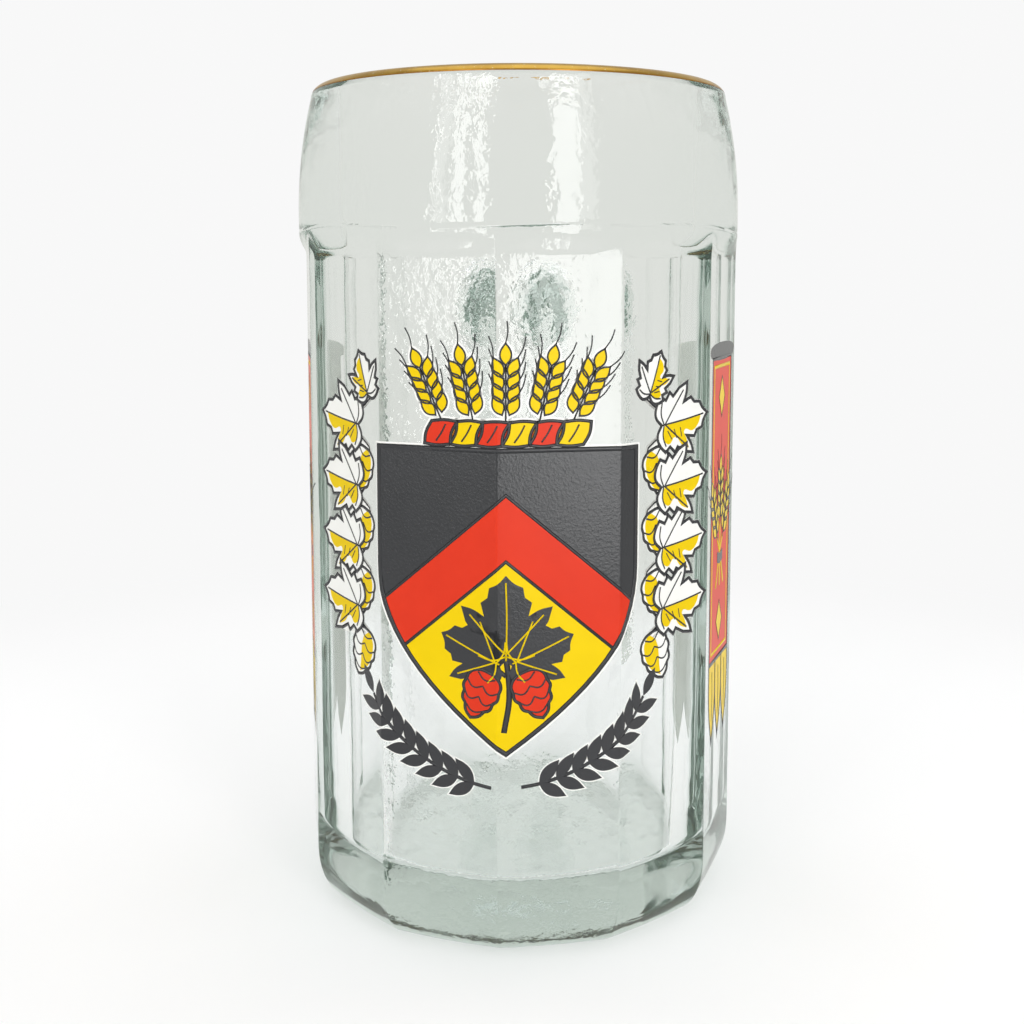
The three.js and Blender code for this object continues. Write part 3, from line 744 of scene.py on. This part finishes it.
def barleyEar(fillPiece, linePiece, x, y, turn, size, onGround):
    ear = dict(pairs=4, grain=0.30, spread=24, step=0.17, first=0.06, off=0.05, awn=0.30, awnLean=0.7,
               stemLow=-0.04)
    top = ear["first"] + ear["pairs"] * ear["step"]
    bristle = [(0, 0), (0.03, ear["awn"] / 2), (0.02, ear["awn"])]
    grains = [(0, top, 0)]
    for i in range(ear["pairs"]):
        for hand in (1, -1):
            grains.append((hand * ear["off"], ear["first"] + i * ear["step"], hand * ear["spread"]))
    stem = placed([(0, ear["stemLow"]), (0, top)], x, y, turn, size)
    drawLine(linePiece, stem, "line", fineLine)
    for gx, gy, lean in grains:
        grain = placed(bothSides(grainHalf), gx, gy, lean, ear["grain"])
        tip = max(grain, key=lambda point: point[1])
        awn = placed(bristle, tip[0], tip[1], lean * ear["awnLean"], 1)
        outline = placed(grain, x, y, turn, size)
        if onGround:
            fillIn("print_ground", outline, "ground", halo + fineLine / 2)
        fillIn(fillPiece, outline, "field")
        drawLine(linePiece, outline, "line", fineLine, True)
        drawLine(linePiece, placed(awn, x, y, turn, size), "line", awnLine)


# shield: black over a red chevron over yellow, edged in black
shield = dict(half=24.8, top=95.0, straight=73.0, tip=39.5, upperPeak=87.0, lowerPeak=75.0, fall=21.0,
              edge=0.9, tries=40, sideSteps=14, chevronSteps=6)


def shieldSide(y):
    if y >= shield["straight"]:
        return shield["half"]
    drop = (shield["straight"] - y) / (shield["straight"] - shield["tip"])
    return shield["half"] * (1 - drop * drop)


def shieldMeets(peak):
    # height where a chevron line from this peak reaches the shield's side
    y = peak
    for _ in range(shield["tries"]):
        y = peak - shield["fall"] * shieldSide(y) / shield["half"]
    return y


def sideRun(top, bottom, steps):
    heights = [top + (bottom - top) * i / steps for i in range(steps + 1)]
    return [(shieldSide(y), y) for y in heights]


def cornered(points):
    return [(x, y, 1) for x, y in points]


def drawShield():
    bottom = sideRun(shield["straight"], shield["tip"], shield["sideSteps"])
    whole = cornered(bothSides([(0, shield["top"]), (shield["half"], shield["top"])] + bottom))
    upper, lower = shieldMeets(shield["upperPeak"]), shieldMeets(shield["lowerPeak"])
    right = sideRun(upper, lower, shield["chevronSteps"])
    chevron = [(0, shield["upperPeak"])] + right + [(0, shield["lowerPeak"])]
    base = [(0, shield["lowerPeak"])] + sideRun(lower, shield["tip"], shield["sideSteps"])
    fillIn("print_ground", whole, "ground", halo + shield["edge"] / 2)
    fillIn("shield_black_field", whole, "low")
    fillIn("shield_red_chevron", cornered(bothSides(chevron)), "field")
    fillIn("shield_yellow_field", cornered(bothSides(base)), "field")
    drawLine("shield_edge_lines", whole, "line", shield["edge"], True)
    for peak, meet in ((shield["upperPeak"], upper), (shield["lowerPeak"], lower)):
        side = shieldSide(meet)
        drawLine("shield_edge_lines", cornered([(-side, meet), (0, peak), (side, meet)]), "line", boldLine)


drawShield()

# black hop sprig with red cones on the yellow field
sprig = dict(foot=56.0, rise=16.5, sideLeaf=13.0, sideTurn=66, cone=9.0, coneTurn=158, coneOut=3.4,
             coneTop=54.5, sideOff=0.6, stem=((0, 58.0), (0.6, 50.0), (-0.4, 43.5)), stemWide=1.1,
             stalk=((0, 54.0), (1.8, 55.2)), stalkWide=0.8)


def drawSprig():
    leaves = [(0, sprig["foot"], 0, sprig["rise"], 1)]
    leaves += [(sprig["sideOff"], sprig["foot"], sprig["sideTurn"], sprig["sideLeaf"], side)
               for side in (1, -1)]
    for leaf in leaves:
        fillIn("shield_hop_sprig", placed(bothSides(leafHalf), *leaf), "shade")
        for vein in leafVeins:
            drawLine("sprig_veins", placed(vein, *leaf), "line", fineLine)
    drawLine("shield_hop_sprig", sprig["stem"], "shade", sprig["stemWide"])
    for side in (1, -1):
        cone = (sprig["coneOut"], sprig["coneTop"], sprig["coneTurn"], sprig["cone"], side)
        stalk = [(side * x, y) for x, y in (*sprig["stalk"], (sprig["coneOut"], sprig["coneTop"]))]
        drawLine("shield_hop_sprig", stalk, "shade", sprig["stalkWide"])
        fillIn("sprig_cones", placed(bothSides(coneHalf), *cone), "accent")
        drawLine("shield_edge_lines", placed(bothSides(coneHalf), *cone), "line", boldLine, True)
        for scale in coneScales:
            drawLine("shield_edge_lines", placed(scale, *cone), "line", fineLine)


drawSprig()

# twisted wreath on the shield with five barley ears standing on it
crest = dict(half=15.5, bottom=95.9, top=100.0, twists=6, slant=1.4, earFoot=100.6, earStep=6.2, earLean=12,
             ear=13.0, ears=5, bulge=0.25, bow=(0.2, 0.8), creaseInset=0.5)


def drawCrest():
    width = (2 * crest["half"] - crest["slant"]) / crest["twists"]
    low, high, slant = crest["bottom"], crest["top"], crest["slant"]
    middle, bulge = (low + high) / 2, crest["bulge"]
    bowLeft, bowRight = crest["bow"]
    inset = crest["creaseInset"]
    for i in range(crest["twists"]):
        x = -crest["half"] + i * width
        twist = [(x, low, 1), (x + width / 2, low - bulge), (x + width, low, 1),
                 (x + width + slant * bowRight, middle), (x + width + slant, high, 1),
                 (x + width / 2 + slant, high + bulge), (x + slant, high, 1),
                 (x + slant * bowLeft, middle)]
        fillIn("print_ground", twist, "ground", halo + boldLine / 2)
        fillIn("crest_torse" if i % 2 == 0 else "crest_torse_yellow", twist, "field")
        drawLine("crest_lines", twist, "line", boldLine, True)
        crease = [(x + width * 0.45, low + inset), (x + width * 0.5 + slant * 0.6, middle),
                  (x + width * 0.55 + slant, high - inset)]
        drawLine("crest_lines", crease, "line", fineLine)
    for i in range(crest["ears"]):
        off = i - crest["ears"] // 2
        barleyEar("crest_barley_%d" % (i + 1), "crest_lines", off * crest["earStep"], crest["earFoot"],
                  off * crest["earLean"], crest["ear"], True)


drawCrest()

# hop bines down both sides of the shield: white leaves and cones shaded yellow
bine = dict(inner=27.8, outer=33.8, top=104.0, bottom=58.0, turns=8, stem=1.1, leaf=13.0, leafTurn=82,
            cone=9.2, coneTurn=160, lift=0.045, leafBack=3.2, coneOff=(1.2, 1.5), tipLeaf=9.1, tipTurn=20,
            tipDrop=0.5)


def drawBine(group, side):
    stem = []
    for i in range(bine["turns"] + 1):
        x = bine["outer"] if i % 2 else bine["inner"]
        stem.append((x, bine["top"] + (bine["bottom"] - bine["top"]) * i / bine["turns"]))
    path = placed(stem, 0, 0, 0, 1, side)
    drawLine("print_ground", path, "ground", bine["stem"] + 2 * fineLine + 2 * halo)
    drawLine(group + "_lines", path, "low", bine["stem"] + 2 * fineLine)
    drawLine(group + "_leaves", path, "lowShade", bine["stem"])
    for i, (x, y) in enumerate(stem):
        if i % 2:
            lift = (i // 2 % 2) * bine["lift"]  # every second leaf lies over its neighbours
            hopLeaf(group, x - bine["leafBack"], y, bine["leafTurn"], bine["leaf"], side, lift)
        elif i > 0:
            right, above = bine["coneOff"]
            hopCone(group, x + right, y + above, bine["coneTurn"], bine["cone"], side)
    hopLeaf(group, bine["inner"], bine["top"] - bine["tipDrop"], bine["tipTurn"], bine["tipLeaf"], side,
            bine["lift"])


for group, side in (("hop_bine_left", -1), ("hop_bine_right", 1)):
    drawBine(group, side)

# dark leaf sprigs in an arc under the shield
arc = dict(middle=65.0, radius=32.0, start=5, end=58, leaves=9, leaf=5.8, stem=0.7, spread=38, slim=0.75,
           ground=0.21)


def drawSprigArc(piece, side):
    def onArc(turn, off=0.0):
        reach = arc["radius"] + off
        return reach * math.sin(math.radians(turn)), arc["middle"] - reach * math.cos(math.radians(turn))

    turns = [arc["start"] + (arc["end"] - arc["start"]) * t for t in shares(arc["leaves"], 0)]
    drawLine(piece, [(side * x, y) for x, y in map(onArc, turns)], "low", arc["stem"])
    narrow = [(x * arc["slim"], y, *corner) for x, y, *corner in bothSides(grainHalf)]
    for turn in turns[1:-1]:
        for spread in (arc["spread"], -arc["spread"]):
            leaf = placed(narrow, *onArc(turn), 90 - turn + spread, arc["leaf"], side)
            fillIn("print_ground", leaf, "ground", arc["ground"])
            fillIn(piece, leaf, "field")
    last = placed(narrow, *onArc(arc["end"]), 90 - arc["end"], arc["leaf"], side)
    fillIn(piece, last, "field")


drawSprigArc("leaf_sprig_left", -1)
drawSprigArc("leaf_sprig_right", 1)

# banners on the side panels: a bar, a red cloth with a barley sheaf, yellow tails
banner = dict(middle=57.2, bar=20.0, barHigh=2.0, barTop=112.0, width=17.0, clothTop=109.7, clothLow=49.7,
              tails=3, tailLong=16.5, tailBend=9.0, border=1.6, borderLine=0.7, barBulge=0.8, sheafFoot=66.0,
              ear=13.0, earTurn=27, earOff=2.4, strawOff=3.4, straw=1.0, tie=(2.4, 69.0, 71.2, 0.6),
              lozenges=(57.0, 102.0), lozengeHalf=(2.6, 4.0), earRise=(11, 8), strawDrop=2,
              strawTie=(0.5, 4), tailGap=0.3, tailSides=(0.06, 0.94),
              tailFold=((0.5, 2), (0.56, 7), (0.5, 12)))


def drawBanner(group, side):
    x = side * banner["middle"] - crestMiddle
    half = banner["width"] / 2
    top, low = banner["clothTop"], banner["clothLow"]
    barHalf, barLow = banner["bar"] / 2, banner["barTop"] - banner["barHigh"]
    barMiddle, bulge = (barLow + banner["barTop"]) / 2, banner["barBulge"]
    bar = [(x - barHalf, barLow), (x - barHalf - bulge, barMiddle), (x - barHalf, banner["barTop"]),
           (x + barHalf, banner["barTop"]), (x + barHalf + bulge, barMiddle), (x + barHalf, barLow)]
    cloth = cornered([(x - half, top), (x + half, top), (x + half, low), (x - half, low)])
    fillIn("print_ground", bar, "backing")
    fillIn("print_ground", cloth, "backing", halo)
    fillIn(group + "_bar", bar, "low")
    fillIn(group + "_cloth", cloth, "low")
    drawLine(group + "_lines", cloth, "line", boldLine, True)
    edge = banner["border"]
    inset = half - edge
    border = cornered([(x - inset, top - edge), (x + inset, top - edge), (x + inset, low + edge),
                       (x - inset, low + edge)])
    drawLine(group + "_ornament", border, "field", banner["borderLine"], True)
    across, rise = banner["lozengeHalf"]
    for y in banner["lozenges"]:
        lozenge = cornered([(x - across, y), (x, y + rise), (x + across, y), (x, y - rise)])
        fillIn(group + "_ornament", lozenge, "field")
        drawLine(group + "_lines", lozenge, "line", fineLine, True)
    # three ears tied to a sheaf, the middle one standing higher
    sheaf = banner["sheafFoot"]
    tiedOff, tiedRise = banner["strawTie"]
    for hand in (-1, 0, 1):
        foot = (x + hand * banner["earOff"], sheaf + banner["earRise"][abs(hand)])
        turn = hand * banner["earTurn"]
        barleyEar(group + "_ornament", group + "_lines", *foot, turn, banner["ear"], False)
        straw = [(x - hand * banner["strawOff"], sheaf - banner["strawDrop"]),
                 (x - hand * tiedOff, sheaf + tiedRise), foot]
        drawLine(group + "_ornament", straw, "field", banner["straw"])
    tieHalf, tieLow, tieHigh, sag = banner["tie"]
    tie = [(x - tieHalf, tieLow), (x, tieLow - sag), (x + tieHalf, tieLow), (x + tieHalf, tieHigh),
           (x, tieHigh - sag), (x - tieHalf, tieHigh)]
    fillIn(group + "_lines", cornered(tie), "line")
    step = banner["width"] / banner["tails"]
    tailTop = low - banner["tailGap"]
    sideLeft, sideRight = banner["tailSides"]
    for i in range(banner["tails"]):
        left = x - half + i * step
        tail = [(left, tailTop, 1), (left + step, tailTop, 1),
                (left + step * sideRight, low - banner["tailBend"]),
                (left + step * 0.5, low - banner["tailLong"], 1),
                (left + step * sideLeft, low - banner["tailBend"])]
        fillIn("print_ground", tail, "backing", halo)
        fillIn(group + "_tails", tail, "low")
        drawLine(group + "_lines", tail, "line", boldLine, True)
        fold = [(left + step * share, low - drop) for share, drop in banner["tailFold"]]
        drawLine(group + "_lines", fold, "line", fineLine)


for group, side in (("banner_left", -1), ("banner_right", 1)):
    drawBanner(group, side)

# which enamel each printed film is, by the ending of its name
filmEnamels = dict(ground="enamel_white", leaves="enamel_white", shading="enamel_yellow",
                   lines="enamel_black", veins="enamel_yellow", cones="enamel_red", field="enamel_black",
                   chevron="enamel_red", sprig="enamel_black", torse="enamel_red", yellow="enamel_yellow",
                   ornament="enamel_yellow", bar="enamel_black", cloth="enamel_red", tails="enamel_yellow")


def enamelOf(name):
    if name == "shield_yellow_field" or name.startswith("crest_barley"):
        return "enamel_yellow"
    if name.startswith("leaf_sprig"):
        return "enamel_black"
    return filmEnamels[name.split("_")[-1]]


for name in sorted(films):
    node = name.replace("_leaves", "")
    replaced = (node,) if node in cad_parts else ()
    slot = enamelOf(name)
    addPiece(name, foldedFilm(name), enamels[slot], replaced)
print("prints fired:", len(films), "films")
